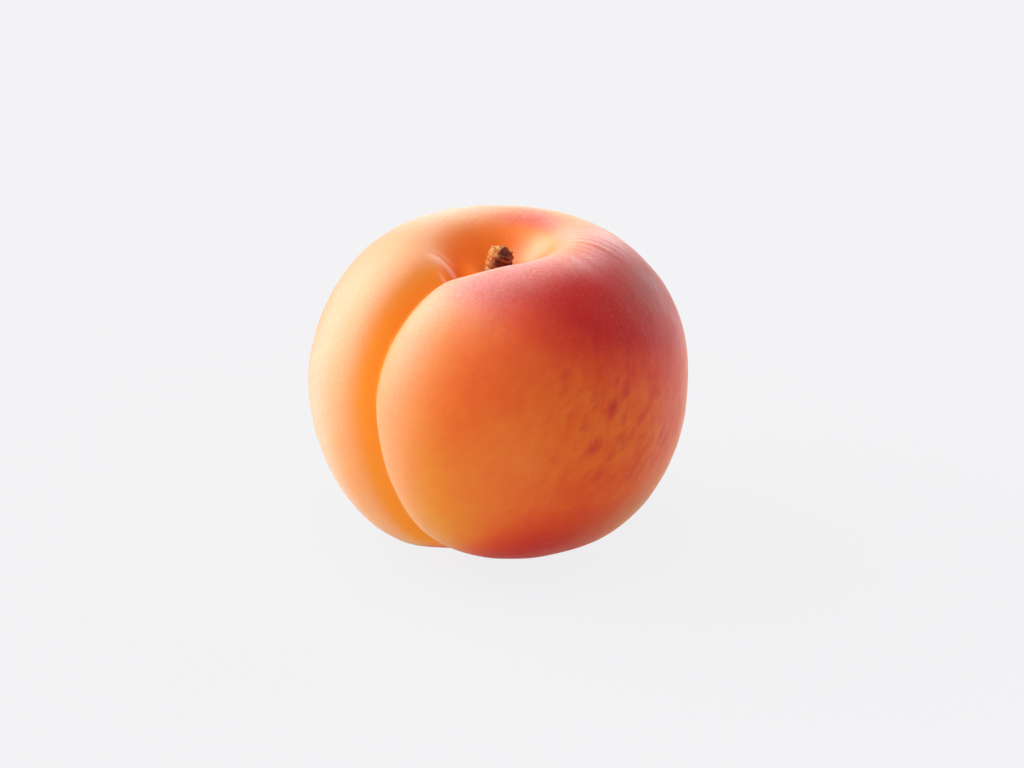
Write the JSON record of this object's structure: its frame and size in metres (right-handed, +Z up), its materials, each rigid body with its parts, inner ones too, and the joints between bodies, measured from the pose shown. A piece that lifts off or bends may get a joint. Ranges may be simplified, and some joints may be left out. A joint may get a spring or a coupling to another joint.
{
  "type": "apricot",
  "caption": "Ripe blushed apricot with a deep suture, a stem cavity holding a short woody stem stub, and a small flat spot it rests on.",
  "frame": {"origin": "centre of the flat resting spot on the blossom end, straight below the stem", "axes": "+Z up along the stem axis, away from the surface the fruit rests on; -Y is the front, with the suture at the front left (45 degrees from -Y towards -X); +X is the blushed side"},
  "size_m": [0.0477, 0.0484, 0.0405],
  "materials": {
    "skin": "matte downy fruit skin, orange with a red blush",
    "stem": "rough dry broken stem, reddish brown"
  },
  "bodies": {
    "root": {"fruit": "skin", "stem_stub": "stem"}
  },
  "joints": []
}
